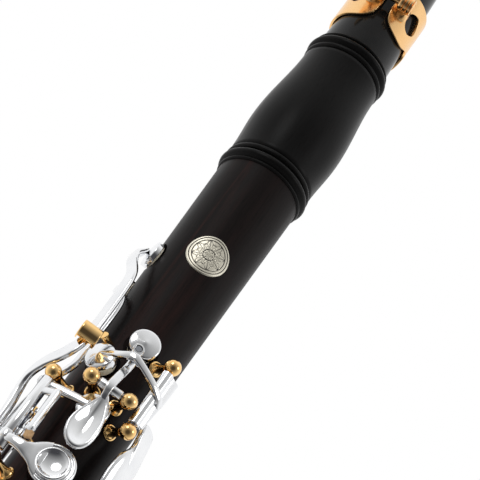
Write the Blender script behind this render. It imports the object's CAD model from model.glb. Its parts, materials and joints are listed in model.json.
"""Soprano clarinet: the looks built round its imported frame.

Lengths are in millimetres and become metres when a mesh is made. A place is given as (d, phi, r):
d below the barrel's lower edge, phi round the axis from the front, positive towards +X, and r from
the axis.
"""
import json
import math

import bmesh
import bpy
import numpy as np
from mathutils import Matrix, Vector
from mathutils.geometry import delaunay_2d_cdt

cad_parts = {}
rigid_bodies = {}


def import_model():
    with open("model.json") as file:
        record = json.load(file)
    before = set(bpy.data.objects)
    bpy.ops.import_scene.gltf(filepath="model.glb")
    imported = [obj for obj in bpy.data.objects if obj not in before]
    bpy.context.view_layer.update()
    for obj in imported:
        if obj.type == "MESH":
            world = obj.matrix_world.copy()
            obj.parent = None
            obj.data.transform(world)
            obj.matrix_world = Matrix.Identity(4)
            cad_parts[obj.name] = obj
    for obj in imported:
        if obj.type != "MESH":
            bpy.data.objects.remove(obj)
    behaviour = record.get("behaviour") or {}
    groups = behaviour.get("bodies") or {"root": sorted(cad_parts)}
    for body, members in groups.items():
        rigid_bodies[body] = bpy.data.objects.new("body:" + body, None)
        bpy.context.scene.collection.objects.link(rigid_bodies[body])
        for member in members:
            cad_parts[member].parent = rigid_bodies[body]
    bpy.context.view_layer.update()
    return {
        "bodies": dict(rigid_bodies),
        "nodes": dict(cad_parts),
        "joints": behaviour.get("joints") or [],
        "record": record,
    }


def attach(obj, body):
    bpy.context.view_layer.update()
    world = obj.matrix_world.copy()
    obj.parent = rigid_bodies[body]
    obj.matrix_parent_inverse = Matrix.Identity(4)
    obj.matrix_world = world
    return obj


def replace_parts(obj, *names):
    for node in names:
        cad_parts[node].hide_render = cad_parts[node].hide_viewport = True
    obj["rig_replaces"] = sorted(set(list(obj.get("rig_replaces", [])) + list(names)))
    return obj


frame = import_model()
MM = 0.001
BODY_OF = {n: b for b, ns in frame["record"]["behaviour"]["bodies"].items() for n in ns}

# ---------------------------------------------------------------- sizes shared with the CAD
BELL_H, LOWER_H, UPPER_H, BARREL_H = 102, 228, 206, 65
UPPER_Z = BELL_H + LOWER_H
BARREL_Z = UPPER_Z + UPPER_H
HEAD_Z = BARREL_Z + BARREL_H
BORE_R = 7.4
TENON_LEN = 17
SOCKET_LEN = 17.2
SOCKET_R = 12.25
JOINT_TOP_R, WAIST_R = 14.7, 13.6
WAIST_AT = 110           # where the upper joint's taper ends
TUBE_R = 1.9
BALL_R = 2.6
GAP = BALL_R + 0.15
SEAT_DROP = 0.6
PAD_T = 2.0
CUP_WALL = 0.5
FINGER_HOLE_R = 4.0
CHIMNEY_R = 5.7
CHIMNEY_H = 2.1

# hinge lines: phi, r, d of each post
LINES = {
    "g": (29, 22, [81.8, 107.9]),
    "h": (-52, 22, [103.3, 136.4, 198]),
    "thumb": (-128, 20.5, [105.5, 130.5]),
    "s": (-108, 20.5, [155.5, 186.5, 202]),
    "left_sliver": (40, 20.5, [160.5, 182.5]),
    "c": (58, 21, [186, 201.5]),
    "ring": (-52, 21.5, [217, 287]),
    "right_sliver": (40, 21, [254.5, 277.5]),
    "a": (-40, 21, [292, 331.5, 360]),
    "b": (-76, 21, [287, 376]),
    "e": (-100, 21, [268, 403]),
    "f_lever": (88, 21, [217.5, 282.5]),
    "f_sharp_lever": (106, 21, [217.5, 294.5]),
    "e_lever": (124, 21, [217.5, 306]),
}
UPPER_LINES = [n for n in LINES if LINES[n][2][0] < UPPER_H]
LOWER_LINES = [n for n in LINES if n not in UPPER_LINES]
# d, phi, r, distance of each post from the rod's middle
A_ROD = (101, -2, 21.7, 6.7)
REGISTER_ROD = (66, 180, 21, 7.6)
TRILL_ROD = (141.5, -86, 22, 8.2)
# d, phi, hole diameter, cup diameter
PADS = {
    "a": (80, -0.6, 5, 9.9),
    "g": (90.7, -31.2, 5, 9.4),
    "vent": (107.7, -3, 6, 10.3),
    "first": (130.6, 0, 7, 13),
    "trill_1": (44, -80, 5, 9.4),
    "trill_2": (57, -106, 5, 9.4),
    "side_1": (162, -134, 6, 9.6),
    "side_2": (194, -134, 6.5, 9.6),
    "second": (169.2, -26, 6, 9),
    "left_sliver": (176, 64, 6, 9),
    "c": (194.5, 24, 6.5, 10),
    "register": (30, 180, 5.6, 9),
    "ring": (240.6, -34, 6, 9),
    "right_sliver": (266, 64, 6, 9),
    "f": (322, 2, 9.5, 14),
    "a_flat": (347, 0, 9, 13),
    "f_sharp": (369.6, -46, 9, 13),
    "e": (396, -70, 9.5, 13.6),
}
UPPER_PADS = [n for n in PADS if PADS[n][0] < UPPER_H]
LOWER_PADS = [n for n in PADS if n not in UPPER_PADS]
UPPER_FINGERS = [156, 181]
LOWER_FINGERS = [229, 252, 276]
THUMB_D = 118
# degrees by which the keys that stand open are open
FIRST_OPEN, SECOND_OPEN, THUMB_OPEN, RING_OPEN = 7.5, 6, 5.5, 6
F_OPEN, F_SHARP_OPEN, E_OPEN = 8, 9, 9


def body_r(d):
    if d < UPPER_H:
        return max(2 * WAIST_R, 2 * JOINT_TOP_R - 2 * (JOINT_TOP_R - WAIST_R) * d / WAIST_AT) / 2
    return 15.6 if d < UPPER_H + 8 else 14.4


def seat_r(d):
    return body_r(d) - SEAT_DROP


def cup_top(d):
    return seat_r(d) + PAD_T + CUP_WALL + 1.1


def sin(a):
    return math.sin(math.radians(a))


def cos(a):
    return math.cos(math.radians(a))


def spot(d, phi, r):
    return Vector((r * sin(phi), -r * cos(phi), BARREL_Z - d))


def move(x, y, z):
    return Matrix.Translation((x, y, z))


def turn(angle, axis):
    return Matrix.Rotation(math.radians(angle), 4, axis)


def at(d, phi, r):
    """Frame with Z up the instrument and -Y outward."""
    return Matrix.Translation(spot(d, phi, r)) @ turn(phi, "Z")


def out(d, phi, r):
    """Frame with Z outward and Y up the instrument."""
    return at(d, phi, r) @ turn(90, "X")


def opened(line, angle):
    """Turn about a hinge line, from a key's closed place to its open one."""
    pivot = spot(0, line[0], line[1])
    return Matrix.Translation(pivot) @ turn(angle, "Z") @ Matrix.Translation(-pivot)


# ---------------------------------------------------------------- mesh building
def between(a, b, c, e, steps):
    """Catmull-Rom points from b up to c, for rows a to e."""
    return [0.5 * (2 * b + (c - a) * t + (2 * a - 5 * b + 4 * c - e) * t * t
                   + (3 * b - a - 3 * c + e) * t ** 3) for t in (k / steps for k in range(steps))]


def smooth_path(points, steps=6):
    """Smooth curve through the control rows, each row a list of numbers."""
    rows = np.array(points, float)
    rows = np.vstack([2 * rows[0] - rows[1], rows, 2 * rows[-1] - rows[-2]])
    found = []
    for i in range(1, len(rows) - 2):
        found += between(*rows[i - 1: i + 3], steps)
    return np.array(found + [rows[-2]])


def blob(points, steps=6):
    """Smooth closed outline through control points."""
    rows = np.array(points, float)
    found = []
    for i in range(len(rows)):
        found += between(*(rows[(i + k) % len(rows)] for k in (-1, 0, 1, 2)), steps)
    return np.array(found)


def arc(cx, cy, r, a1, a2, n):
    return [(cx + r * cos(a1 + (a2 - a1) * i / n), cy + r * sin(a1 + (a2 - a1) * i / n))
            for i in range(n + 1)]


def superellipse(n, power):
    """Coordinates of n points round a squarish circle of radius 1."""
    angle = np.linspace(0, 2 * math.pi, n, endpoint=False)
    x, y = np.cos(angle), np.sin(angle)
    return np.sign(x) * np.abs(x) ** (2 / power), np.sign(y) * np.abs(y) ** (2 / power)


class Shape:
    """Vertices and faces gathered in millimetres, made into one object at the end."""

    def __init__(self):
        self.rows, self.faces, self.count = [], [], 0

    def add(self, points, faces, frame=None):
        points = np.asarray(points, float).reshape(-1, 3)
        if frame is not None:
            m = np.array(frame)
            points = points @ m[:3, :3].T + m[:3, 3]
            if np.linalg.det(m[:3, :3]) < 0:
                faces = [f[::-1] for f in faces]
        self.faces += [tuple(i + self.count for i in f) for f in faces]
        self.rows.append(points)
        self.count += len(points)
        return self

    def grid(self, rings, frame=None, cap_start=False, cap_end=False):
        """Closed rings of the same number of points, joined by quads."""
        n = len(rings[0])
        faces = []
        for i in range(len(rings) - 1):
            for j in range(n):
                k = (j + 1) % n
                faces.append((i * n + j, i * n + k, (i + 1) * n + k, (i + 1) * n + j))
        if cap_start:
            faces.append(tuple(range(n))[::-1])
        if cap_end:
            faces.append(tuple((len(rings) - 1) * n + j for j in range(n)))
        return self.add(np.concatenate([np.asarray(r, float) for r in rings]), faces, frame)

    def lathe(self, profile, frame=None, n=48):
        """Profile of (r, z), going so that the outside lies to its right, turned round Z."""
        points, faces, index = [], [], []
        for r, z in profile:
            if r < 1e-6:
                index.append([len(points)])
                points.append((0, 0, z))
            else:
                index.append(list(range(len(points), len(points) + n)))
                points += [(r * math.cos(2 * math.pi * j / n), r * math.sin(2 * math.pi * j / n), z)
                           for j in range(n)]
        for a, b in zip(index, index[1:]):
            for j in range(n):
                k = (j + 1) % n
                if len(a) == 1 and len(b) == 1:
                    continue
                if len(a) == 1:
                    faces.append((a[0], b[k], b[j]))
                elif len(b) == 1:
                    faces.append((a[j], a[k], b[0]))
                else:
                    faces.append((a[j], a[k], b[k], b[j]))
        return self.add(points, faces, frame)

    def sweep(self, stations, power=2.6, steps=6, up=None):
        """Bar through stations (x, y, z, half width, half height), rounded at both ends. Its
        height points away from the axis, or along up. A greater power makes it squarer."""
        path = smooth_path(stations, steps)
        centre, wide, high = path[:, :3], path[:, 3], path[:, 4]
        tangent = np.gradient(centre, axis=0)
        tangent /= np.linalg.norm(tangent, axis=1)[:, None]
        if up is None:
            normal = centre * np.array([1, 1, 0])
        else:
            normal = np.tile(np.asarray(up, float), (len(centre), 1))
        normal = normal - (normal * tangent).sum(1)[:, None] * tangent
        normal /= np.linalg.norm(normal, axis=1)[:, None]
        side = np.cross(tangent, normal)
        cx, cy = superellipse(20, power)
        rings = []

        def ring(i, scale, shift):
            c = centre[i] + tangent[i] * shift
            return (c + side[i] * wide[i] * scale * cx[:, None]
                    + normal[i] * high[i] * scale * cy[:, None])

        rounding = [(0.35, -0.42), (0.68, -0.3), (0.9, -0.12)]
        first, last = min(wide[0], high[0]), min(wide[-1], high[-1])
        for s, back in rounding:
            rings.append(ring(0, s, back * first))
        rings += [ring(i, 1, 0) for i in range(len(centre))]
        for s, back in rounding[::-1]:
            rings.append(ring(len(centre) - 1, s, -back * last))
        return self.grid(rings, cap_start=True, cap_end=True)

    def bar(self, places, wide, high, power=2.2, steps=6):
        """Sweep through (d, phi, r) places, each of which may give its own width and height."""
        return self.sweep([(*spot(*p[:3]), (p[3] if len(p) > 3 else wide) / 2,
                            (p[4] if len(p) > 4 else high) / 2) for p in places],
                          power, steps=steps)

    def plate(self, outline, rings, frame=None, centre=(0, 0), wrap=None):
        """Stack of rings (scale, z) of one outline about its centre, closed top and bottom.
        wrap turns a point's (x, y, z) into its place."""
        o = np.asarray(outline, float)
        c = np.asarray(centre, float)
        made = []
        for s, z in rings:
            xy = c + (o - c) * s
            zz = z(xy) if callable(z) else np.full(len(xy), z)
            p = np.column_stack([xy, zz])
            made.append(np.array([wrap(*q) for q in p]) if wrap else p)
        return self.grid(made, frame, cap_start=True, cap_end=True)

    def turned(self, m):
        """The whole shape moved by a matrix."""
        m = np.array(m)
        self.rows = [r @ m[:3, :3].T + m[:3, 3] for r in self.rows]
        return self

    def make(self, name, material, sharp=38):
        mesh = bpy.data.meshes.new(name)
        mesh.from_pydata((np.concatenate(self.rows) * MM).tolist(), [], self.faces)
        mesh.validate()
        obj = bpy.data.objects.new(name, mesh)
        bpy.context.scene.collection.objects.link(obj)
        finish_mesh(mesh, sharp)
        mesh.materials.append(material)
        return obj


def finish_mesh(mesh, sharp):
    """Outward faces, smooth shading, and sharp edges where faces meet at a steep angle."""
    bm = bmesh.new()
    bm.from_mesh(mesh)
    bmesh.ops.remove_doubles(bm, verts=bm.verts, dist=2e-7)
    bmesh.ops.recalc_face_normals(bm, faces=bm.faces)
    limit = math.radians(sharp)
    for f in bm.faces:
        f.smooth = True
    for e in bm.edges:
        e.smooth = len(e.link_faces) == 2 and e.calc_face_angle(0) < limit
    bm.to_mesh(mesh)
    bm.free()


def wrapped(d, phi, r):
    """Place of a point on a plate that is bent round the body: x round it, y up it, z outward."""
    return lambda x, y, z: tuple(spot(d - y, phi + math.degrees(x / r), r + z))


# ---------------------------------------------------------------- materials
class Nodes:
    """A node tree, with short ways to add to it."""

    def __init__(self, tree):
        self.nodes, self.links = tree.nodes, tree.links

    def feed(self, socket, value):
        """An output is linked to the socket; a number or a colour is set on it."""
        if isinstance(value, bpy.types.NodeSocket):
            self.links.new(value, socket)
        else:
            socket.default_value = (*value, 1) if socket.type == "RGBA" else value

    def new(self, kind, inputs, **settings):
        node = self.nodes.new("ShaderNode" + kind)
        for key, value in settings.items():
            setattr(node, key, value)
        for key, value in inputs.items():
            self.feed(node.inputs[key], value)
        return node.outputs

    def noise(self, scale, detail=4, rough=0.6, distortion=0, along=(1, 1, 1), turned=(0, 0, 0)):
        """Noise in the object's own coordinates, which along scales and turned turns first."""
        where = self.new("TexCoord", {})["Object"]
        place = self.new("Mapping", {"Vector": where, "Scale": along, "Rotation": turned})["Vector"]
        return self.new("TexNoise", {"Vector": place, "Scale": scale, "Detail": detail,
                                     "Roughness": rough, "Distortion": distortion})["Fac"]

    def ramp(self, value, *stops):
        node = self.nodes.new("ShaderNodeValToRGB")
        elements = node.color_ramp.elements
        while len(elements) < len(stops):
            elements.new(0.5)
        for item, (position, color) in zip(elements, stops):
            item.position = position
            item.color = (*color, 1)
        self.feed(node.inputs["Fac"], value)
        return node.outputs["Color"]

    def remap(self, value, low, high, to_low, to_high):
        return self.new("MapRange", {"Value": value, "From Min": low, "From Max": high,
                                     "To Min": to_low, "To Max": to_high})["Result"]

    def mixed(self, a, b, factor, mode="MIX"):
        return self.new("Mix", {0: factor, 6: a, 7: b}, data_type="RGBA", blend_type=mode)[2]


class Paint(Nodes):
    """A material and its shader."""

    def __init__(self, name, color, metallic, roughness):
        self.material = bpy.data.materials.new(name)
        self.material.use_nodes = True
        super().__init__(self.material.node_tree)
        self.shader = self.nodes["Principled BSDF"]
        self.set("Base Color", color)
        self.set("Metallic", metallic)
        self.set("Roughness", roughness)

    def set(self, key, value):
        self.feed(self.shader.inputs[key], value)

    def bump(self, height, strength, distance):
        self.set("Normal", self.new("Bump", {"Height": height, "Strength": strength,
                                             "Distance": distance})["Normal"])


def plated(name, color, tint, low, high, scratch=0.05):
    """Polished plating: faint haze, colour that shifts a little, and hairline wipe marks."""
    p = Paint(name, color, 1.0, low)
    haze = p.noise(140, 5)
    p.set("Roughness", p.remap(haze, 0.3, 0.75, low, high))
    p.set("Base Color", p.ramp(haze, (0.3, color), (0.75, tint)))
    wipes = p.noise(3, 3, 0.5, along=(900, 900, 90), turned=(0.3, 0.5, 0.2))
    p.bump(wipes, scratch, 0.00004)
    return p.material


def joint_wood(name, dark, middle, red, rough=(0.34, 0.5), streak=1.0):
    """Oiled dark wood: long streaks up the grain, fine open pores, a satin surface."""
    p = Paint(name, middle, 0, 0.42)
    bands = p.noise(1, 6, 0.62, 0.6, along=(190, 190, 9))
    slow = p.noise(1, 3, 0.5, 0.4, along=(60, 60, 2.2))
    side = p.new("SeparateXYZ", {0: p.new("TexCoord", {})["Object"]})["X"]
    reach = p.new("Math", {0: side, 1: -45, 2: slow}, operation="MULTIPLY_ADD")[0]
    heart = p.remap(reach, 0.35, 0.95, 0.1 * streak, streak)
    base = p.ramp(bands, (0.3, dark), (0.5, middle), (0.72, red))
    deep = p.ramp(slow, (0.35, dark), (0.7, middle))
    pores = p.noise(1, 3, along=(2600, 2600, 130))
    spots = p.ramp(pores, (0.36, (0.35, 0.35, 0.35)), (0.46, (1, 1, 1)))
    p.set("Base Color", p.mixed(p.mixed(deep, base, heart), spots, 0.7, "MULTIPLY"))
    p.set("Roughness", p.remap(bands, 0.3, 0.75, *rough))
    p.bump(pores, 0.22, 0.00006)
    p.set("IOR", 1.19)
    return p.material


def ebonite():
    p = Paint("ebonite", (0.006, 0.006, 0.0065), 0, 0.1)
    fine = p.noise(220)
    p.set("Roughness", p.remap(fine, 0.3, 0.7, 0.08, 0.16))
    p.set("Base Color", p.ramp(fine, (0.3, (0.005, 0.005, 0.0055)), (0.8, (0.010, 0.0095, 0.009))))
    p.set("IOR", 1.28)
    return p.material


def grained(name, color, metallic, roughness, grain, stops, strength, distance, soft=0.0):
    """A surface of one grain, which gives it both its colours and its relief."""
    p = Paint(name, color, metallic, roughness)
    height = p.noise(**grain)
    p.set("Base Color", p.ramp(height, *stops))
    p.bump(height, strength, distance)
    p.set("Subsurface Weight", soft)
    return p.material


MAT = {
    "silver_plate": plated("silver_plating", (0.93, 0.935, 0.945), (0.84, 0.85, 0.87), 0.07, 0.17),
    "gold_plate": plated("gold_plating", (1.0, 0.68, 0.30), (0.98, 0.60, 0.22), 0.07, 0.16),
    "rose_gold": plated("rose_gold_plating", (0.97, 0.61, 0.28), (0.95, 0.58, 0.255), 0.17, 0.27,
                        0.03),
    "pale_metal": plated("pale_metal", (0.80, 0.76, 0.64), (0.70, 0.66, 0.55), 0.28, 0.42, 0.12),
    "steel": plated("blued_steel", (0.42, 0.44, 0.48), (0.30, 0.31, 0.34), 0.22, 0.38),
    "spring_steel": plated("spring_steel", (0.06, 0.065, 0.08), (0.04, 0.043, 0.055), 0.2, 0.35),
    "tube_metal": plated("tube_metal", (0.60, 0.60, 0.58), (0.48, 0.48, 0.47), 0.2, 0.36),
    "joint_wood": joint_wood("joint_wood", (0.0035, 0.003, 0.003), (0.010, 0.0055, 0.005),
                             (0.046, 0.016, 0.013)),
    "barrel_wood": joint_wood("barrel_wood", (0.003, 0.003, 0.003), (0.0055, 0.005, 0.005),
                              (0.012, 0.009, 0.008), (0.28, 0.4), 0.7),
    "ebonite": ebonite(),
    "cane": grained("cane", (0.7, 0.52, 0.24), 0, 0.5, dict(scale=1, along=(1500, 1500, 40)),
                    [(0.3, (0.50, 0.33, 0.12)), (0.7, (0.78, 0.60, 0.30))], 0.3, 0.00008),
    "cork": grained("cork", (0.55, 0.34, 0.18), 0, 0.85, dict(scale=900, detail=6, rough=0.7),
                    [(0.3, (0.26, 0.13, 0.06)), (0.5, (0.55, 0.34, 0.17)),
                     (0.75, (0.68, 0.46, 0.25))], 0.5, 0.0001),
    "pad_skin": grained("pad_skin", (0.85, 0.78, 0.62), 0, 0.45, dict(scale=700, detail=5),
                        [(0.3, (0.72, 0.62, 0.44)), (0.7, (0.90, 0.84, 0.70))], 0.25, 0.0001, 0.1),
    "engraving": grained("engraving", (0.05, 0.045, 0.04), 0.3, 0.5, dict(scale=1500),
                         [(0.3, (0.03, 0.028, 0.025)), (0.7, (0.10, 0.09, 0.075))], 0.2, 0.00003),
}
SLOT_OF = {s["node"]: s["material_slot"] for s in frame["record"]["subparts"]}
for name, obj in frame["nodes"].items():
    obj.data.materials.clear()
    obj.data.materials.append(MAT[SLOT_OF[name]])


def finish(shape, node, turn_by=None, sharp=38):
    """The piece that stands for a CAD node and rides where that node rides."""
    if turn_by is not None:
        shape.turned(turn_by)
    obj = shape.make("look_" + node, MAT[SLOT_OF[node]], sharp)
    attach(obj, BODY_OF[node])
    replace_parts(obj, node)
    return obj


def extra(shape, name, node, material):
    """A piece that has no node in the CAD, on the body of the node it belongs to."""
    obj = shape.make(name, MAT[material])
    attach(obj, BODY_OF[node])


# ---------------------------------------------------------------- wood
def beads(z, r, flip=False):
    """Turned beads, 8 high, going up from z on a wall of radius r."""
    low = (arc(r, 0.65, 0.65, -90, 90, 8) + arc(r, 3.3, 1.5, -70, 70, 14)
           + arc(r, 6.3, 1.05, -80, 80, 10))
    if flip:
        return [(p[0], z + 8 - p[1]) for p in low[::-1]]
    return [(p[0], z + p[1]) for p in low]


def ease(a, b, u):
    return a + (b - a) * (1 - cos(180 * u)) / 2


def barrel():
    s = Shape()
    curve = [(ease(15.4, 16.4, i / 16), 8 + 18 * i / 16) for i in range(17)]
    curve += [(ease(16.4, 14.2, i / 24), 26 + 31 * i / 24) for i in range(1, 25)]
    outer = beads(0, 14.7) + curve + beads(BARREL_H - 8, 13.5, True)
    socket = 11.5
    inner = [(socket + 0.5, BARREL_H), (socket, BARREL_H - 0.5), (socket, BARREL_H - SOCKET_LEN),
             (BORE_R, BARREL_H - SOCKET_LEN), (BORE_R, SOCKET_LEN), (socket, SOCKET_LEN),
             (socket, 0.5), (socket + 0.5, 0)]
    s.lathe(outer + inner + [outer[0]], move(0, 0, BARREL_Z), 160)
    finish(s, "barrel", sharp=50)


UNROLL_R = 14            # radius at which a joint's skin is laid out flat
SKIN_COLUMNS, RIM_STEPS = 144, 48


def wooden_skin(s, profile, pads, fingers, seam):
    """Outside of a joint: a turned skin with a pocket and seat ring under each pad and a chimney
    round each finger hole. profile is (radius, z) from the bottom up."""
    rs, zs = zip(*profile)
    wide = 2 * math.pi * UNROLL_R
    holes = [(BARREL_Z - PADS[p][0], PADS[p][1], PADS[p][3] / 2 + 0.7) for p in pads]
    holes += [(BARREL_Z - d, 0, CHIMNEY_R) for d in fingers]

    def radius_at(z):
        return float(np.interp(z, zs, rs))

    def to_u(phi):
        return ((phi - seam) % 360) / 360 * wide

    def clear(u, z, room, spare):
        """Whether a place of the skin lies outside every rim."""
        for hz, phi, r in holes:
            gap = (u - to_u(phi)) / UNROLL_R
            away = math.hypot(math.sin(gap) * radius_at(z), z - hz)
            if abs(gap) < 1.5 and away < r * room + spare:
                return False
        return True

    points, edges, rims = [], [], []
    for z in sorted({*zs, *np.arange(zs[0] + 4, zs[-1] - 1, 4.0)}):
        for k in range(SKIN_COLUMNS + 1):
            u = wide * k / SKIN_COLUMNS
            if k in (0, SKIN_COLUMNS) or clear(u, z, 1, 0.5):
                points.append((u, z))
    for z, phi, r in holes:
        start = len(points)
        rim = []
        for k in range(RIM_STEPS):
            a = 2 * math.pi * k / RIM_STEPS
            zz = z + r * math.sin(a)
            rr = radius_at(zz)
            x = r * math.cos(a)
            points.append((to_u(phi) + math.asin(x / rr) * UNROLL_R, zz))
            rim.append((x, r * math.sin(a), math.sqrt(rr * rr - x * x)))
        edges += [(start + k, start + (k + 1) % RIM_STEPS) for k in range(RIM_STEPS)]
        rims.append((z, phi, r, rim))
    verts, _, faces = delaunay_2d_cdt([Vector(p) for p in points], edges, [], 0, 1e-5)[:3]
    placed = []
    for u, z in verts:
        phi = seam + 360 * u / wide
        r = radius_at(z)
        placed.append((r * sin(phi), -r * cos(phi), z))
    good = []
    for f in faces:
        cu = sum(verts[i][0] for i in f) / len(f)
        cz = sum(verts[i][1] for i in f) / len(f)
        if clear(cu, cz, 0.995, 0):
            good.append(tuple(f))
    s.add(placed, good)
    return rims


def pocket(s, rim, hole_r):
    """Pocket wall, floor, seat ring and tone hole under one pad."""
    z, phi, r, edge = rim
    d = BARREL_Z - z
    frame_here = out(d, phi, 0)
    floor = seat_r(d) - 1
    s.grid([[(x, y, floor) for x, y, _ in edge], edge], frame_here)
    collar = hole_r + 1.2
    s.lathe([(r, floor), (collar, floor), (collar, seat_r(d) - 0.25), (collar - 0.2, seat_r(d)),
             (collar - 0.6, seat_r(d) + 0.02), (hole_r, seat_r(d) - 0.3), (hole_r, BORE_R - 1)],
            frame_here, RIM_STEPS)


def chimney(s, rim):
    z, phi, r, edge = rim
    d = BARREL_Z - z
    top = body_r(d) + CHIMNEY_H
    s.grid([edge, [(x, y, top - 0.6) for x, y, _ in edge]], out(d, phi, 0))
    s.lathe([(r, top - 0.6), (r - 0.17, top - 0.17), (r - 0.6, top), (FINGER_HOLE_R + 0.3, top),
             (FINGER_HOLE_R, top - 0.3), (FINGER_HOLE_R, BORE_R - 1)], out(d, phi, 0), RIM_STEPS)


def joint(node, profile, pads, fingers, seam, ends):
    s = Shape()
    rims = wooden_skin(s, profile, pads, fingers, seam)
    for p, rim in zip(pads, rims):
        pocket(s, rim, PADS[p][2] / 2)
    for rim in rims[len(pads):]:
        chimney(s, rim)
    s.lathe(ends, None, SKIN_COLUMNS)
    finish(s, node, sharp=35)


def tenon(r, z, way):
    """Profile of a tenon from its root at height z, going up or down, to the bore at its tip."""
    chamfer = 0.6
    tip = z + way * TENON_LEN
    return [(r, z), (r, tip - way * chamfer), (r - chamfer, tip), (BORE_R, tip)]


def upper_joint():
    z0, z1 = UPPER_Z, BARREL_Z
    joint("upper_joint_body", [(WAIST_R, z0), (WAIST_R, z1 - WAIST_AT), (JOINT_TOP_R, z1)],
          UPPER_PADS, UPPER_FINGERS, 110,
          [(JOINT_TOP_R, z1)] + tenon(10.4, z1, 1) + tenon(11, z0, -1)[::-1] + [(WAIST_R, z0)])


def lower_joint():
    z0, z1, r = BELL_H, UPPER_Z, 14.4
    # the beads' undercuts are straightened, so that every height has one radius
    profile = [(r, z0)]
    for p in [(r, z1 - 8)] + beads(z1 - 8, 14.3, True):
        profile.append((p[0], max(p[1], profile[-1][1] + 1e-3)))
    joint("lower_joint_body", profile, LOWER_PADS, LOWER_FINGERS, 180,
          [profile[-1], (SOCKET_R, z1), (SOCKET_R, z1 - SOCKET_LEN), (BORE_R, z1 - SOCKET_LEN)]
          + tenon(11, z0, -1)[::-1] + [(r, z0)])


def bell():
    s = Shape()
    h, rim = BELL_H - 8, 5
    top, edge = 14.2, 39.5
    outer = [(edge - 5, 0), (edge - 1.2, 0), (edge - 0.5, 0.25), (edge - 0.1, 0.8), (edge, 1.4),
             (edge, rim - 1.6), (edge - 0.15, rim - 0.9), (edge - 0.6, rim - 0.2)]
    outer += [(top + (edge - 0.9 - top) * (1 - i / 40) ** 2.6, rim + (h - rim) * i / 40)
              for i in range(1, 41)]
    outer += beads(h, 14.3, True)
    inner = [(SOCKET_R, BELL_H), (SOCKET_R, BELL_H - SOCKET_LEN), (11, BELL_H - SOCKET_LEN),
             (11, BELL_H - 25), (9.3, BELL_H - 26)]
    inner += [(9 + (edge - 4 - 9) * (i / 40) ** 2.6, h * (1 - i / 40)) for i in range(12, 41)]
    s.lathe(outer + inner + [outer[0]], None, 160)
    finish(s, "bell", sharp=50)


def medallion():
    """Pale disc let into the wood, with a rosette engraved into it."""
    s = Shape()
    d0, phi0, big = 39.2, -2, 7.15
    r0 = body_r(d0) + 0.22
    size = 120
    radii = np.concatenate([np.linspace(0, big - 0.35, 78), [big - 0.2, big - 0.08, big]])
    rings = []
    for rho in radii[1:]:
        ring = []
        for k in range(size):
            a = 2 * math.pi * k / size
            depth = engraving(rho, a)
            if rho > big - 0.3:
                depth += (rho - big + 0.3) * 0.8
            x, y = rho * math.cos(a), rho * math.sin(a)
            ring.append(tuple(spot(d0 - y, phi0 + math.degrees(math.asin(x / r0)), r0 - depth)))
        rings.append(ring)
    rings.append([(x * 0.97, y * 0.97, z) for x, y, z in rings[-1]])
    s.grid(rings)
    centre = spot(d0, phi0, r0 - engraving(0, 0))
    s.add([tuple(centre)] + rings[0], [(0, k + 1, (k + 1) % size + 1) for k in range(size)])
    obj = finish(s, "medallion", sharp=60)
    obj.data.materials.append(MAT["engraving"])
    for face in obj.data.polygons:
        x, y, z = face.center / MM
        side = math.atan2(x, -y) - math.radians(phi0)
        x, y = r0 * math.sin(side), z - (BARREL_Z - d0)
        if engraving(math.hypot(x, y), math.atan2(y, x)) > 0.06:
            face.material_index = 1


def groove(x, width):
    """Depth of a rounded groove at a distance x from its middle."""
    return max(0.0, 1 - (x / width) ** 2)


def engraving(rho, a):
    """Depth of the rosette's engraving at a radius and angle on the disc."""
    depth = 0.0
    for ring_r in (6.3, 5.4, 1.9):
        depth = max(depth, groove(rho - ring_r, 0.16))
    if rho < 5.4:
        # two rows of petals, drawn as arcs that cross
        for count, reach, offset in ((8, 5.25, 0), (8, 4.0, 0.5)):
            step = 2 * math.pi / count
            turn_by = (a / step + offset) % 1 - 0.5
            edge = reach * (1 - 2.6 * turn_by * turn_by)
            depth = max(depth, 0.9 * groove(rho - edge, 0.15))
            if rho > 1.9:
                depth = max(depth, 0.5 * groove(turn_by * step * rho, 0.12) * (rho < reach))
    if rho < 1.9:
        star = 1.45 * (0.62 + 0.38 * math.cos(6 * a))
        depth = max(depth, 0.9 * groove(rho - star, 0.14))
    return 0.16 * depth


barrel()
upper_joint()
lower_joint()
bell()
medallion()


# ---------------------------------------------------------------- metal parts used many times
def ball_post(s, d, phi, r, ball=BALL_R, foot=2.5, neck=1.35):
    """Post with a flared foot, a waisted neck and a ball."""
    low = body_r(d) - 0.35
    h = r - low
    profile = [(0, 0), (foot, 0), (foot, 0.62), (foot - 0.12, 0.8), (foot - 0.5, 0.98),
               (neck + 0.42, 1.5), (neck + 0.12, 2.2), (neck, 3.1), (neck, h - ball - 0.6),
               (neck + 0.12, h - ball - 0.1)]
    start = math.degrees(math.asin(min(0.95, (neck + 0.12) / ball)))
    turns = [start + (180 - start) * i / 16 for i in range(1, 16)]
    profile += [(ball * sin(a), h - ball * cos(a)) for a in turns] + [(0, h + ball)]
    s.lathe(profile, out(d, phi, low), 36)


def posts(node, lines, rods=()):
    s = Shape()
    for name in lines:
        phi, r, places = LINES[name]
        for d in places:
            ball_post(s, d, phi, r)
    for d, phi, r, t in rods:
        for side in (-1, 1):
            ball_post(s, d, phi + side * math.degrees(math.atan(t / r)), math.hypot(r, t))
    if rods:
        ball_post(s, 127.2, -37, 17.2, 1.75, 1.8, 0.9)
    finish(s, node)


def sleeve(s, r, h, place):
    """Tube round a rod, its ends softened."""
    s.lathe([(1.0, 0), (r - 0.2, 0), (r, 0.2), (r, h - 0.2), (r - 0.2, h), (1.0, h), (1.0, 0)],
            place, 32)


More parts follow.
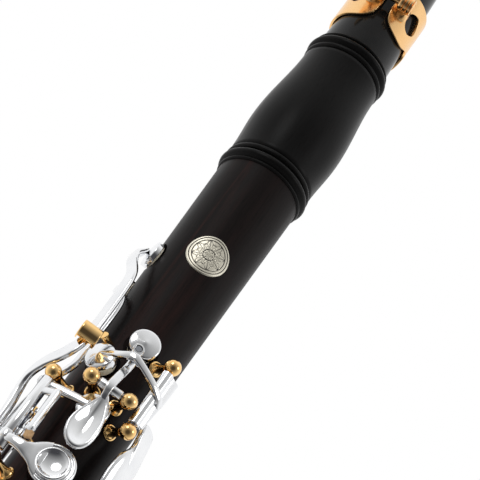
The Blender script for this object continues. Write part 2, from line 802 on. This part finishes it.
def tube(s, line, i):
    """Hinge tube between posts i and i + 1 of a line."""
    phi, r, ds = line
    top, low = ds[i] + GAP, ds[i + 1] - GAP
    sleeve(s, TUBE_R, low - top, at(low, phi, r))


def cross_tube(s, rod, t1, t2, r=TUBE_R):
    """Hinge tube on a rod that lies across, from t1 to t2 from its middle."""
    sleeve(s, r, t2 - t1, at(*rod[:3]) @ turn(90, "Y") @ move(0, 0, t1))


def cup(s, pad, cone=0.75, lift=0.0, shift=(0, 0, 0)):
    """Pad cup: thin wall, rounded shoulder and a shallow cone on top. shift is added to the
    pad's own d, phi and cup diameter."""
    d, phi, dia = PADS[pad][0] + shift[0], PADS[pad][1] + shift[1], PADS[pad][3] + shift[2]
    r = dia / 2
    top = PAD_T + CUP_WALL + lift
    profile = [(0, PAD_T + 0.04), (r - CUP_WALL, PAD_T + 0.04), (r - CUP_WALL, 0.75),
               (r - 0.1, 0.7), (r, 0.8), (r, top - 0.45), (r - 0.08, top - 0.2),
               (r - 0.3, top - 0.02), (r - 0.7, top + 0.08)]
    profile += [(r * k, top + 0.08 + cone * (1 - k * 1.1) * 0.95) for k in (0.7, 0.5, 0.3, 0.16)]
    profile += [(r * 0.07, top + 0.08 + cone * 0.9), (0, top + 0.08 + cone * 0.93)]
    s.lathe(profile, out(d, phi, seat_r(d)), 56)


def touch(s, d, phi, r, l, w, t=1.8, crown=0.35):
    """Finger touch: rounded oblong with soft edges and a crowned top."""
    x, y = superellipse(40, 2.6)
    o = np.column_stack([x * w / 2, y * l / 2])
    rings = [(0.86, 0), (0.96, 0.12), (1.0, 0.5), (1.0, t - 0.5), (0.97, t - 0.2), (0.9, t - 0.04),
             (0.8, t + crown * 0.3), (0.6, t + crown * 0.7), (0.35, t + crown * 0.94),
             (0.12, t + crown)]
    s.plate(o, rings, out(d, phi, r))


def ring(s, d, phi, tube_phi, tube_r, side):
    """Finger ring with a rounded section, and its arm."""
    low = body_r(d) + 0.4
    inner, outer = 6.2, 8.2
    section = [(inner + 0.25, 0), (outer - 0.3, 0), (outer, 0.35), (outer, 1.1),
               (outer - 0.2, 1.45), (outer - 0.55, 1.62), (inner + 0.5, 1.62),
               (inner + 0.12, 1.4), (inner, 1.0), (inner, 0.25), (inner + 0.25, 0)]
    s.lathe(section, out(d, phi, low), 64)
    edge = outer - 0.8
    tip = (low + 0.8, edge)
    end = spot(d, phi + side * math.degrees(math.atan(edge / (low + 0.8))), math.hypot(*tip))
    start = spot(d, tube_phi, tube_r - 0.2)
    middle = (start + end) / 2 + (start + end) * Vector((0.5, 0.5, 0)) * 0.03
    s.sweep([(*start, 1.5, 0.9), (*middle, 1.35, 0.8), (*end, 2.3, 0.7)], 3)


def hinged(line_name, i, pad=None, cone=0.75):
    """Start of a key: its tube on one stretch of a hinge line, with its arm and pad cup."""
    s = Shape()
    line = LINES[line_name]
    tube(s, line, i)
    if pad:
        cup(s, pad, cone)
        d, phi = PADS[pad][:2]
        start, end = spot(d, *line[:2]), spot(d, phi, cup_top(d) + 0.1)
        middle = (start + end) / 2
        middle += Vector((middle.x, middle.y, 0)).normalized() * 0.7
        back = start - end
        s.sweep([(*start, 1.5, 1.0), (*middle, 1.25, 0.95), (*(end + back * 0.12), 1.5, 0.75),
                 (*(end - back * 0.1), 1.3, 0.55)], 2.4)
    return s


posts("upper_posts", UPPER_LINES, (A_ROD, REGISTER_ROD, TRILL_ROD))
posts("lower_posts", LOWER_LINES)


# ---------------------------------------------------------------- upper joint keys
def register_key():
    s = Shape()
    cross_tube(s, REGISTER_ROD, -4.7, 4.7)
    cup(s, "register")
    s.bar([(27, 180, 17.2, 3, 1.2), (34, 180, 18, 3, 2), (50, 180, 19.8, 3, 2.4),
           (66, 180, 21.4, 4, 4), (80, 180, 21.2, 3, 2.2), (94, 180, 20.6, 4, 1.8)], 3, 2.4, 2.4)
    touch(s, 97, 180, 19.8, 18, 9.4, 1.6, 0.4)
    finish(s, "register_key")


# outline of the A key's touch, from its neck round by the left
A_TOUCH = [(0.0, 11.2), (-1.1, 9.6), (-1.9, 7.4), (-3.2, 4.0), (-4.6, 0.2), (-4.9, -3.6),
           (-3.8, -7.2), (-1.5, -9.4), (1.3, -9.7), (3.4, -8.2), (4.6, -5.2), (4.8, -1.4),
           (4.2, 2.4), (2.9, 6.2), (1.7, 9.2)]


def a_key():
    s = Shape()
    cross_tube(s, A_ROD, -3.9, 3.9, 1.45)
    cup(s, "a", 0.8, 1.3, (-0.7, 0, 0))
    s.bar([(82.6, -0.6, 17.8, 2.5, 1.2), (86.5, -0.6, 19.0, 2.7, 1.7), (91, -0.4, 20.6, 2.7, 1.7),
           (96.5, -2.1, 22.3, 2.7, 1.8), (101, -3.2, 23.3, 2.7, 2.0), (103.4, -2.8, 23.0, 2.2, 1.8),
           (105.6, -2.2, 22.3, 2.2, 1.6)], 2.7, 1.8, 4.5)

    def dish(depth):
        """Top of the touch, hollowed about its middle and level again at its neck."""
        return lambda xy: 2.1 - depth * np.clip(1 - np.hypot(xy[:, 0], 0.5) / 5.6, 0, 1) \
            * np.clip((11.5 - xy[:, 1]) / 9, 0, 1)

    edge = [(0.80, 0.1), (0.93, 0.2), (0.995, 0.6), (1.0, 1.2), (0.985, 1.7), (0.95, 2.02),
            (0.9, 2.1)]
    hollow = [(0.84, 0.3), (0.74, 0.9), (0.6, 1.4), (0.45, 1.75), (0.3, 1.95), (0.15, 2.05),
              (0.03, 2.1)]
    s.plate(blob(A_TOUCH), edge + [(scale, dish(depth)) for scale, depth in hollow],
            out(114.2, -1.6, 21.1), centre=(-0.1, -0.6))
    finish(s, "a_key", sharp=50)


def g_sharp_key():
    s = hinged("g", 0)
    cup(s, "g", 0.6, 1.3, (-0.8, -2.2, 0.4))
    s.bar([(95.0, 37.5, 22.6, 2.4, 1.7), (94.0, 32, 23.7, 2.5, 1.9), (92.6, 23, 24.1, 2.3, 1.8),
           (91.2, 12.4, 24.4, 2.3, 1.8), (89.9, 3.5, 24.6, 2.4, 1.8), (89.3, -0.4, 24.5, 2.6, 1.9),
           (89.6, -4.5, 23.9, 2.5, 1.9), (90.2, -11, 22.6, 2.1, 1.8), (90.2, -20, 20.6, 1.7, 1.5),
           (90.1, -29, 18.8, 0.9, 1.1)], 2.3, 1.9, 4, 5)
    s.bar([(89.6, -1.4, 23.6, 3, 2), (86.4, -2, 23.1, 3.2, 2)], 3, 2, 2.6)
    s.lathe([(1.2, 0), (1.75, 0), (1.85, 0.15), (1.85, 2.5), (1.7, 2.75), (1.2, 2.8), (1.2, 0)],
            out(86.3, -2, 22.0), 36)
    # plate beside the tube, and the lever that swells into the little finger's touch
    s.bar([(84.9, 36.6, 22.4, 3.8, 1.6), (92, 36, 22.4, 3.6, 1.6), (99, 34.4, 22.4, 3.2, 1.6),
           (104, 33.6, 22.2, 3.2, 1.6)], 3.8, 1.6, 5)
    o = blob([(-4.2, 18), (-1.2, 18.6), (1.6, 17.5), (3.2, 13), (4.9, 7), (5.6, 0), (5.0, -7),
              (2.6, -12.4), (-1.6, -13.6), (-5.2, -9), (-6.4, -2), (-5.6, 5), (-3.6, 9.6),
              (-4.0, 14)])
    s.plate(o, [(0.85, 0), (0.96, 0.1), (1.0, 0.45), (1.0, 1.1), (0.975, 1.45), (0.92, 1.66),
                (0.8, 1.84), (0.6, 2.02), (0.35, 2.12), (0.08, 2.15)],
            centre=(-0.6, 0), wrap=wrapped(119, 52.5, 20.4))
    finish(s, "g_sharp_key")


def adjusting_screw():
    s = Shape()
    s.lathe([(0, 0), (1.0, 0), (1.0, 4.65), (0.92, 4.77), (0, 4.77)], out(86.3, -2, 19.85), 36)
    finish(s, "adjusting_screw")


def first_finger_key():
    s = hinged("h", 0)
    h = LINES["h"]
    s.lathe([(1.9, 0), (2.2, 0.1), (2.3, 0.4), (2.3, 2.6), (2.2, 2.9), (1.9, 3)],
            at(130.5, h[0], h[1]), 32)
    cup(s, "vent", 0.7, 0, (-0.3, -1.3, 0))
    first, last = spot(107.2, -58, 22.9), spot(107.5, -10, 16.6)
    s.sweep([(*first.lerp(last, k), 1.35, 1.25 - 0.35 * k) for k in (0, 0.3, 0.6, 0.85, 1)], 3)
    first, last = spot(110.6, -55, 22.6), spot(110.7, -33, 21.0)
    s.sweep([(*first.lerp(last, k), 1.15, 0.8) for k in (0, 0.5, 1)], 5)
    s.bar([(109.6, -34.6, 21.2), (117, -34.6, 21.2), (125.4, -34.6, 21.2)], 2.4, 2.0, 5)
    # lugs and hook that hold the spring
    s.bar([(125.2, -45, 20.2), (127.2, -45, 20.2)], 2.2, 1.8, 5)
    s.bar([(122.2, -42.5, 19.9), (124.6, -42.5, 19.9)], 1.1, 1.6, 5)
    s.bar([(116.4, -46, 19.6), (117.6, -46, 19.6)], 1.3, 1.4, 5)
    # ridge that flares into the finger plate
    s.sweep([(*spot(129.4, -57, 22.6), 1.7, 1.1), (*spot(129.8, -47, 21.9), 1.6, 1.2),
             (*spot(130.2, -37, 20.2), 1.9, 1.1), (*spot(130.4, -29, 18.6), 3.0, 0.8),
             (*spot(130.2, -22, 17.3), 5.0, 0.55), (*spot(130.1, -14, 16.4), 6.4, 0.4)], 3)
    d = PADS["first"][0] - 0.5
    big = 7.1
    profile = [(0, 2.05), (6.0, 2.05), (6.0, 0.75), (big - 0.25, 0.7), (big, 0.95), (big, 2.5),
               (big - 0.1, 2.85), (big - 0.35, 3.1), (big - 0.8, 3.2), (6.15, 3.12), (5.75, 2.95),
               (5.55, 3.0), (5.45, 3.5), (5.3, 3.9), (5.05, 4.12), (4.75, 4.14), (4.45, 3.98),
               (4.1, 3.62), (3.5, 3.32), (2.6, 3.02), (1.6, 2.84), (0.8, 2.77), (0, 2.75)]
    s.lathe(profile, out(d, -3.6, seat_r(d)), 72)
    drawn_open = opened(h, -FIRST_OPEN)
    finish(s, "first_finger_key", drawn_open, sharp=48)
    cork = Shape()
    cork.bar([(125.5, -34.4, 20.9), (127.6, -34.2, 20.6)], 2.6, 1.6, 6)
    extra(cork.turned(drawn_open), "bumper_cork", "first_finger_key", "cork")
    # flat spring lying under the tube
    leaf = Shape()
    leaf.bar([(109.5, -43.5, 18.6), (118, -43.5, 18.4), (127, -43.5, 18.2)], 4.2, 0.6, 6)
    extra(leaf.turned(drawn_open), "key_leaf_spring", "first_finger_key", "spring_steel")


def trill_key_guide():
    """Round block lying across over the upper trill key's bar, on a foot in the wood."""
    s = Shape()
    r, wide = 3.2, 6.6
    slot = (0.5, 5.6)  # where the slot begins and ends, from the block's outer face
    x, y, z = -18.7, -17.9, BARREL_Z - 88.4
    lying = move(x, y, z) @ turn(90, "Y")
    end = [(0, 0), (r - 0.5, 0), (r - 0.2, 0.08), (r - 0.05, 0.22), (r, 0.5)]
    s.lathe(end + [(0, slot[0])], lying, 64)
    s.lathe([(0, slot[1]), (r, slot[1])] + [(q, wide - k) for q, k in end[::-1]], lying, 64)
    front = [(-r * cos(a), r * sin(a)) for a in np.linspace(-75, 75, 41)]
    s.grid([[(x + k, y + p, z + q) for p, q in front] for k in slot], cap_start=True, cap_end=True)
    s.lathe([(0, 0), (1.4, 0), (1.4, 4.4), (1.2, 4.6), (0, 4.6)], out(83.3, -41, 13.6), 32)
    finish(s, "trill_key_guide")


def thumb_ring_key():
    s = hinged("thumb", 0)
    line = LINES["thumb"]
    ring(s, THUMB_D, 180, line[0], line[1], 1)
    s.bar([(111, -128, 20), (111, -118, 18.8), (111, -106, 17.2), (111, -100, 17)], 3, 1.5, 3)
    finish(s, "thumb_ring_key", opened(line, THUMB_OPEN))


def upper_trill_key():
    s = Shape()
    cross_tube(s, TRILL_ROD, 0.2, 5.3)
    cup(s, "trill_1")
    s.bar([(44, -81, 17.3, 2.6, 1.1), (46, -78, 18.2, 2.8, 1.7), (50, -70, 20.4, 3.2, 2),
           (56, -56, 22.2, 3.6, 1.8), (62, -45, 22.8, 3.5, 1.7), (70, -42.6, 22.8, 3.4, 1.6),
           (84, -42.5, 22.7, 3.4, 1.6), (90, -43.5, 22.7, 3.7, 1.6), (96, -51, 23.0, 4.8, 1.7),
           (101, -64, 23.8, 4.8, 1.9), (105.5, -74, 24.0, 4.2, 2.2), (111, -77, 23.4, 3.6, 2.5),
           (120, -75, 22.8, 3, 2.6), (141.5, -79, 22.6, 3.2, 2.8),
           (152, -78, 22.2, 3.4, 2.2), (160, -77, 21.8, 4.4, 1.8)], 3, 2, 5)
    touch(s, 167, -76, 20.6, 20, 6)
    finish(s, "upper_trill_key")


def lower_trill_key():
    s = Shape()
    cross_tube(s, TRILL_ROD, -5.3, -0.2)
    cup(s, "trill_2")
    s.bar([(57, -107, 17.2, 2.4, 1.1), (58, -102, 17.7, 2.6, 1.6), (61, -86, 17.5, 2.8, 1.5),
           (65, -64, 17.1, 3, 1.4), (70, -54, 17, 2.8, 1.8), (82, -53, 17, 2.6, 2.0),
           (93, -52, 17.2, 2.6, 2.0), (97, -55, 17.4, 2.6, 2.0), (101, -66, 17.8, 2.6, 2.0),
           (108, -84, 18.9, 2.6, 2.2),
           (120, -91, 20.4, 2.6, 2.4), (141.5, -93, 22.6, 2.8, 2.6), (152, -93.4, 22.1, 3, 2.1),
           (158, -93.5, 21.8, 4, 1.8)], 2.6, 2, 3)
    touch(s, 165, -93.5, 20.6, 18, 5)
    finish(s, "lower_trill_key")


def side_key(node, i, pad, touch_d, length):
    s = hinged("s", i, pad)
    s.bar([(touch_d, -109, 21, 5, 1.8), (touch_d, -102, 21.2, 5, 1.6),
           (touch_d, -96, 21.2, 5, 1.4)], 5, 1.6, 3)
    touch(s, touch_d, -95, 20.6, length, 7, 1.8, 0.5)
    finish(s, node)


def second_finger_key():
    s = hinged("h", 1, "second")
    h = LINES["h"]
    ring(s, UPPER_FINGERS[0], 0, h[0], h[1] + 0.2, -1)
    s.bar([(192.5, -53, 21.6, 4, 1.8), (192.5, -40, 20.2, 4, 1.8), (192.5, -22, 18.4, 4.2, 1.6)],
          4, 1.8, 3.6)
    s.bar([(190.8, -22, 18.4), (200, -22, 18.4), (210.6, -22, 18.4)], 4.4, 1.6, 4)
    finish(s, "second_finger_key", opened(h, -SECOND_OPEN))


def sliver_key(node, name, touch_d):
    s = hinged(name, 0, name)
    s.bar([(touch_d, 41, LINES[name][1] + 0.2, 3, 1.6), (touch_d, 30, 19.6, 2.8, 1.6),
           (touch_d, 15, 18.5, 3, 1.5)], 3, 1.5, 3)
    touch(s, touch_d, 15, 17.7, 9, 3.6, 1.7, 0.3)
    finish(s, node)


def c_sharp_key():
    s = hinged("c", 0, "c")
    s.bar([(196.6, 57, 21.4, 4, 1.6), (197, 66, 22, 4, 1.6), (199, 75, 21.8, 4.2, 1.5),
           (204, 78, 21.5, 5, 1.4)], 4, 1.5, 3)
    touch(s, 206, 78, 20.9, 15, 8, 1.6, 0.5)
    finish(s, "c_sharp_key")


register_key()
a_key()
g_sharp_key()
adjusting_screw()
first_finger_key()
trill_key_guide()
thumb_ring_key()
upper_trill_key()
lower_trill_key()
side_key("side_b_flat_key", 0, "side_1", 181, 9.5)
side_key("side_e_flat_key", 1, "side_2", 193, 10)
second_finger_key()
sliver_key("left_sliver_key", "left_sliver", 170)
c_sharp_key()


# ---------------------------------------------------------------- lower joint keys
def right_ring_key():
    s = hinged("ring", 0, "ring")
    line = LINES["ring"]
    for d in LOWER_FINGERS:
        ring(s, d, 0, line[0], line[1] + 0.2, -1)
    s.bar([(221.6, -53, 21.8, 3.6, 1.6), (221.6, -38, 21.4, 3.4, 1.5),
           (221.6, -22, 20.6, 3.6, 1.5)], 3.4, 1.5, 3.6)
    s.bar([(204.4, -22, 20.6), (213, -22, 20.6), (222.6, -22, 20.6)], 4.4, 1.6, 4)
    finish(s, "right_ring_key", opened(line, -RING_OPEN))


def low_key(node, line_name, i, pad, angle, joiner, finger):
    """Key of the lower joint: tube, arm and cup, then a joiner bar and the finger's touch."""
    s = hinged(line_name, i, pad, 1.0)
    s.bar(joiner, 5, 1.6, 3)
    touch(s, *finger)
    finish(s, node, opened(LINES[line_name], angle) if angle else None)


def left_lever(node, line_name, link_d, link_phi):
    s = hinged(line_name, 0)
    phi, r, _ = LINES[line_name]
    touch(s, 230, phi - 2, r + 1.3, 18, 6.2, 1.8, 0.5)
    span = phi - link_phi
    s.bar([(link_d, phi + 1, r - 1.2), (link_d, phi - span * 0.35, r - 1.3),
           (link_d, phi - span * 0.7, r - 1.4), (link_d, link_phi + 1, r - 1.4)], 3.2, 1.5, 3)
    finish(s, node)


right_ring_key()
sliver_key("right_sliver_key", "right_sliver", 264)
low_key("f_c_key", "a", 0, "f", -F_OPEN,
        [(303, -41, 20.8, 5, 1.6), (303, -32, 20.6, 5, 1.5), (303, -22, 19.8, 6, 1.3)],
        (303, -14, 18.8, 15, 9, 1.8, 0.5))
low_key("a_flat_key", "a", 1, "a_flat", 0,
        [(336.4, -40, 21.4, 4, 1.6), (336.2, -50, 22, 3.8, 1.6), (334, -56, 22, 3.6, 1.6),
         (326, -57.4, 22, 3.4, 1.6), (321, -57.8, 21.9, 4, 1.5)],
        (316.5, -58, 21, 15, 6.6, 1.8, 0.4))
low_key("f_sharp_key", "b", 0, "f_sharp", -F_SHARP_OPEN,
        [(298, -77, 21, 5, 1.6), (298, -70, 20.8, 5, 1.5), (298.2, -64, 20.2, 6, 1.3)],
        (298.4, -60, 19, 13, 8, 1.8, 0.5))
low_key("e_b_key", "e", 0, "e", -E_OPEN,
        [(277, -101, 21, 5, 1.6), (277, -93, 20.8, 5, 1.5), (277, -87, 20.2, 6, 1.3)],
        (277, -83, 19, 13, 8, 1.8, 0.5))
left_lever("left_f_lever", "f_lever", 277, 58)
left_lever("left_f_sharp_lever", "f_sharp_lever", 289, 50)
left_lever("left_e_lever", "e_lever", 300.6, 44)


# ---------------------------------------------------------------- ligature
LIG_Z, LIG_H, LIG_R, LIG_T = HEAD_Z + 10.5, 20.5, 13.7, 0.9
LIG_TURN, SCREW_R, SCREW_H, LUG = -5.5, 17.3, 10.2, (3.2, 8.2)


def ligature_band():
    """Sheet band, open at the front, with a window and a lug for the screw in each side plate."""
    s = Shape()
    around = 2 * math.pi * LIG_R
    g = 1.95
    # right edge of the gap and its wavy foot, round the back to the left plate's lower one
    gap = [(g, LIG_H - 1.5)] + [(g, z) for z in (16, 13, 10)]
    right = [(g, 8), (2.1, 6.2), (3.0, 4.0), (4.6, 2.5), (6.4, 1.6), (8.5, 1.15), (10.8, 1.0),
             (13, 1.3), (15.4, 2.4), (17.8, 3.9), (20, 4.7), (22.4, 4.4), (25, 3), (28, 1.2),
             (31, 0.2)]
    left = [(g, 8), (g, 6.6), (2.25, 4.8), (2.9, 3.2), (3.9, 2.0), (5.2, 1.0), (6.8, 0.5), (9, 0.3),
            (12, 0.45), (15, 0.55), (18, 0.25), (21, 0)]
    outline = gap + [tuple(p) for p in smooth_path(right, 4)]
    outline += [(u, 0) for u in np.linspace(33, around - 23, 24)]
    outline += [(around - u, z) for u, z in smooth_path(left, 4)[::-1]]
    outline += [(around - u, z) for u, z in gap[::-1]]
    outline += arc(around - g - 1.5, LIG_H - 1.5, 1.5, 0, 90, 5)[1:]
    outline += [(u, LIG_H) for u in np.linspace(around - 6, 6, 76)]
    outline += arc(g + 1.5, LIG_H - 1.5, 1.5, 90, 180, 5)[:-1]
    # the windows are rounded towards the gap and straight on their far side
    window = [(-3.4, -1.6), (-2.5, -3.4), (-1.2, -4.3), (0.4, -4.4), (2.2, -3.2), (3.5, -1.9),
              (3.8, -0.8), (3.3, 1.0), (2.4, 2.6), (1.5, 3.9), (0.3, 4.2), (-1.5, 3.6), (-3.0, 2.4),
              (-3.7, 0.4)]
    middle = 12
    windows = [blob([(middle + x, 11.2 + y) for x, y in window], 4),
               blob([(around - middle - x, 11.2 + y) for x, y in window], 4)]
    rows, edges = [], []
    for loop in [outline] + [list(map(tuple, w)) for w in windows]:
        start = len(rows)
        rows += [Vector(p) for p in loop]
        edges += [(start + k, start + (k + 1) % len(loop)) for k in range(len(loop))]
    rows += [Vector((u, z))
             for u in np.arange(3, around - 2.6, 0.9) for z in np.arange(1.1, 20, 0.95)
             if inside(outline, u, z, 0.5) and not any(inside(w, u, z, -0.5) for w in windows)]
    verts, _, faces = delaunay_2d_cdt(rows, edges, [], 0, 1e-5)[:3]
    good = []
    for f in faces:
        u = sum(verts[i][0] for i in f) / len(f)
        z = sum(verts[i][1] for i in f) / len(f)
        if inside(outline, u, z, 0) and not any(inside(w, u, z, 0) for w in windows):
            good.append(tuple(f))
    flare = lambda u: max(0.0, 1 - min(u - g, around - g - u) / 4.5) ** 2
    s.add([(lambda r, a: (r * math.sin(a), -r * math.cos(a), z))
           (LIG_R + 1.3 * flare(u) * math.exp(-((z - SCREW_H) / 6.5) ** 2), u / LIG_R)
           for u, z in verts], good)
    s.turned(move(0, 0, LIG_Z))
    s.turned(turn(LIG_TURN, "Z"))
    obj = finish(s, "ligature_band", sharp=60)
    sheet = obj.modifiers.new("sheet", "SOLIDIFY")
    sheet.thickness = LIG_T * MM
    sheet.offset = -1
    edge = obj.modifiers.new("soft edges", "BEVEL")
    edge.width = 0.18 * MM
    edge.segments = 2
    edge.limit_method = "ANGLE"
    edge.angle_limit = math.radians(50)
    lugs = Shape()
    rib = [(1.56, 0), (2.5, 0), (2.75, 0.12), (2.9, 0.4)]
    for k in range(3):
        z = 0.4 + 1.45 * k
        rib += [(2.98, z + 0.15), (3.0, z + 0.6), (2.95, z + 1.0), (2.55, z + 1.2), (2.55, z + 1.3)]
    length = LUG[1] - LUG[0]
    rib += [(2.95, length - 0.35), (2.7, length - 0.08), (2.4, length), (1.56, length), (1.56, 0)]
    for side in (-1, 1):
        lugs.lathe(rib, turn(90 * side, "Y") @ move(0, 0, LUG[0]), 48)
        x = side * (LUG[0] + LUG[1]) / 2
        lugs.sweep([(x, 5.2, 0, 3.4, 2.5), (x, 4.2, 0, 2.9, 2.45), (x, 2.8, 0, 2.4, 2.4),
                    (x, 1.6, 0, 2.2, 2.3)], 3.5, up=(1, 0, 0))
    lugs.turned(move(0, -SCREW_R, LIG_Z + SCREW_H))
    lugs.turned(turn(LIG_TURN, "Z"))
    extra(lugs, "ligature_lugs", "ligature_band", "rose_gold")


def inside(loop, x, y, margin):
    """Whether a point lies in a closed outline, and further than margin from it (or within
    -margin outside it)."""
    q = np.asarray(loop, float)
    a, b = q, np.roll(q, -1, 0)
    cross = (a[:, 1] > y) != (b[:, 1] > y)
    with np.errstate(divide="ignore", invalid="ignore"):
        at_x = (b[:, 0] - a[:, 0]) * (y - a[:, 1]) / (b[:, 1] - a[:, 1]) + a[:, 0]
    within = bool(np.sum(cross & (x < at_x)) % 2)
    if not margin:
        return within
    ab = b - a
    ap = np.array([x, y]) - a
    k = np.clip((ap * ab).sum(1) / np.maximum((ab * ab).sum(1), 1e-12), 0, 1)
    near = np.sqrt(((ap - ab * k[:, None]) ** 2).sum(1)).min()
    return (within and near > margin) if margin > 0 else (within or near < -margin)


def ligature_screw():
    s = Shape()
    tip = LUG[1]
    s.lathe([(0, -tip), (1.3, -tip), (1.5, -tip + 0.2), (1.5, tip + 0.2), (2.9, tip + 0.2),
             (3.2, tip + 0.5), (3.2, tip + 1.6), (2.9, tip + 2.2), (1.2, tip + 2.4),
             (0, tip + 2.4)], None, 40)
    half = [(2.2, 0), (3.2, 0.9), (4.3, 2.4), (4.6, 4.0), (3.9, 5.4), (2.2, 6.0), (0.7, 5.6)]
    wing = [(-2.2, 0)] + half + [(0, 5.3)] + [(-x, y) for x, y in half[:0:-1]]
    s.plate(blob([(x, y + tip + 2.0) for x, y in wing], 5),
            [(0.9, -1.15), (0.97, -1.0), (1.0, -0.6), (1.0, 0.6), (0.97, 1.0), (0.9, 1.15)],
            turn(90, "X"), centre=(0, tip + 5))
    s.turned(move(0, -SCREW_R, LIG_Z + SCREW_H) @ turn(-90, "Y"))
    s.turned(turn(LIG_TURN, "Z"))
    finish(s, "ligature_screw")


ligature_band()
ligature_screw()


# ---------------------------------------------------------------- what stays as the CAD has it
REPLACED = {n for o in bpy.data.objects for n in o.get("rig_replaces", [])}
for name, obj in frame["nodes"].items():
    if name in REPLACED:
        continue
    obj.data.shade_smooth()
    bevel = obj.modifiers.new("soft edges", "BEVEL")
    bevel.width = 0.15 * MM
    bevel.segments = 2
    bevel.limit_method = "ANGLE"
    bevel.angle_limit = math.radians(40)
    bevel.harden_normals = False
    split = obj.modifiers.new("sharp edges", "EDGE_SPLIT")
    split.split_angle = math.radians(50)


# ---------------------------------------------------------------- stage
def stage():
    scene = bpy.context.scene
    mesh = bpy.data.meshes.new("floor")
    half = 4.0
    mesh.from_pydata([(-half, -half, 0), (half, -half, 0), (half, half, 0), (-half, half, 0)], [],
                     [(0, 1, 2, 3)])
    floor = bpy.data.objects.new("floor", mesh)
    scene.collection.objects.link(floor)
    p = Paint("floor_paint", (0.86, 0.86, 0.86), 0, 0.75)
    p.set("Base Color", p.ramp(p.noise(3, 3), (0.3, (0.84, 0.84, 0.84)), (0.7, (0.88, 0.88, 0.88))))
    mesh.materials.append(p.material)
    floor.visible_glossy = False

    world = bpy.data.worlds.new("studio")
    scene.world = world
    world.use_nodes = True
    tree = Nodes(world.node_tree)
    back = tree.nodes["Background"].inputs
    back["Strength"].default_value = 1.0
    # white paper behind the object; the room on the camera's side is dim, apart from the lamps
    towards_camera = tree.new("VectorMath", {0: tree.new("TexCoord", {})["Generated"],
                                             1: (0.05, -0.84, -0.54)},
                              operation="DOT_PRODUCT")["Value"]
    room = tree.ramp(tree.remap(towards_camera, -1, 1, 0, 1), (0.40, (0.98, 0.98, 0.98)),
                     (0.58, (0.72, 0.72, 0.715)), (0.70, (0.5, 0.5, 0.495)),
                     (0.80, (0.38, 0.38, 0.38)), (0.90, (0.2, 0.2, 0.2)),
                     (0.97, (0.06, 0.06, 0.065)))
    seen = tree.new("LightPath", {})["Is Camera Ray"]
    tree.feed(back["Color"], tree.mixed(room, (1.0, 1.0, 1.0), seen))

    def lamp(name, place, size, radiance):
        light = bpy.data.lights.new(name, "AREA")
        light.shape = "DISK"
        light.size = size
        light.energy = radiance * math.pi * math.pi * size * size / 4
        holder = bpy.data.objects.new(name, light)
        holder.location = place
        holder.rotation_mode = "QUATERNION"
        holder.rotation_quaternion = (Vector((0, 0, 0.45)) - Vector(place)).to_track_quat("-Z", "Y")
        scene.collection.objects.link(holder)

    lamp("key_light", (-0.62, -0.85, 0.9), 0.5, 3.0)
    lamp("side_light", (0.85, -0.5, 0.75), 0.45, 2.2)
    scene.view_settings.view_transform = "Standard"
    scene.view_settings.look = "None"


def camera():
    scene = bpy.context.scene
    aim = Vector((4.61, 0, 517.31)) * MM
    rise, roll, distance = math.radians(32.8), math.radians(35.72), 736.26 * MM
    back = Vector((0, -math.cos(rise), -math.sin(rise)))
    up0 = Vector((0, -math.sin(rise), math.cos(rise)))
    right0 = Vector((1, 0, 0))
    up = up0 * math.cos(roll) - right0 * math.sin(roll)
    right = right0 * math.cos(roll) + up0 * math.sin(roll)
    lens = bpy.data.cameras.new("camera")
    lens.lens = 172.5
    lens.sensor_width = 36
    lens.clip_start = 0.01
    cam = bpy.data.objects.new("camera", lens)
    scene.collection.objects.link(cam)
    place = aim + back * distance
    cam.matrix_world = Matrix(((right.x, up.x, back.x, place.x), (right.y, up.y, back.y, place.y),
                               (right.z, up.z, back.z, place.z), (0, 0, 0, 1)))
    scene.camera = cam


stage()
camera()
